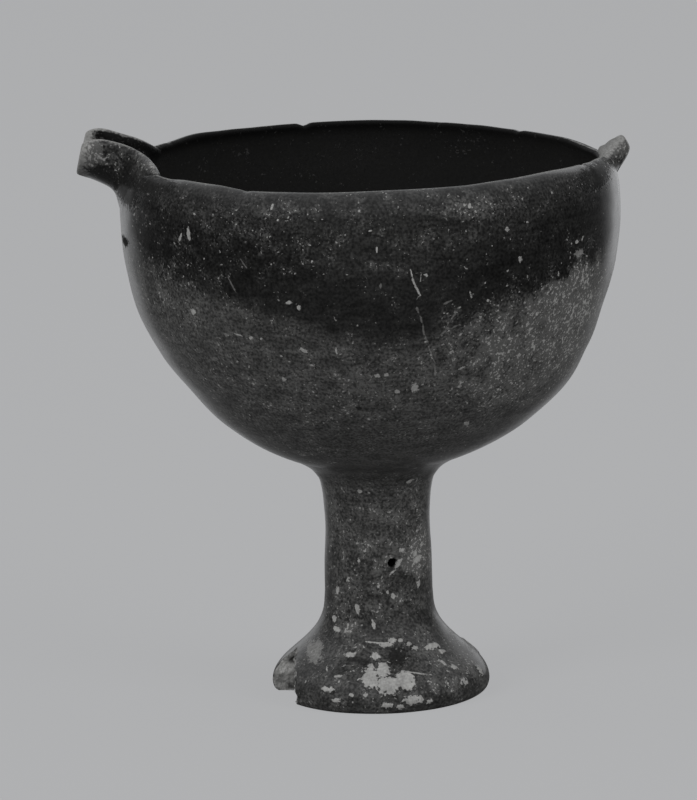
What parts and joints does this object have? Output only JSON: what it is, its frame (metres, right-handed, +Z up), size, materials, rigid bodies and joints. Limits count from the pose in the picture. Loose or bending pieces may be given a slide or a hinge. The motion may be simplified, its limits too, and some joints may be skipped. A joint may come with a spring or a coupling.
{
  "type": "stemmed spouted cup",
  "caption": "Hand-built burnished clay cup: deep round bowl with an open trough spout and a pointed lug on its rim, on a hollow stem with a flared foot.",
  "frame": {"origin": "on the table, under the middle of the whole cup's box; the axis of bowl, stem and foot stands 4.6 mm to +X of it", "axes": "+Z up along the stem, -X towards the spout, +X towards the lug, -Y towards the viewer"},
  "size_m": [0.1648, 0.1488, 0.1717],
  "materials": {
    "burnished_clay": "dark burnished fired clay with pale specks",
    "worn_clay": "dark burnished fired clay, worn pale at its edges",
    "crusted_clay": "dark fired clay with patches of pale crust"
  },
  "bodies": {
    "root": {"bowl": "burnished_clay", "spout": "worn_clay", "lug": "worn_clay", "stem": "burnished_clay", "stem_collar": "burnished_clay", "foot": "crusted_clay"}
  },
  "joints": []
}
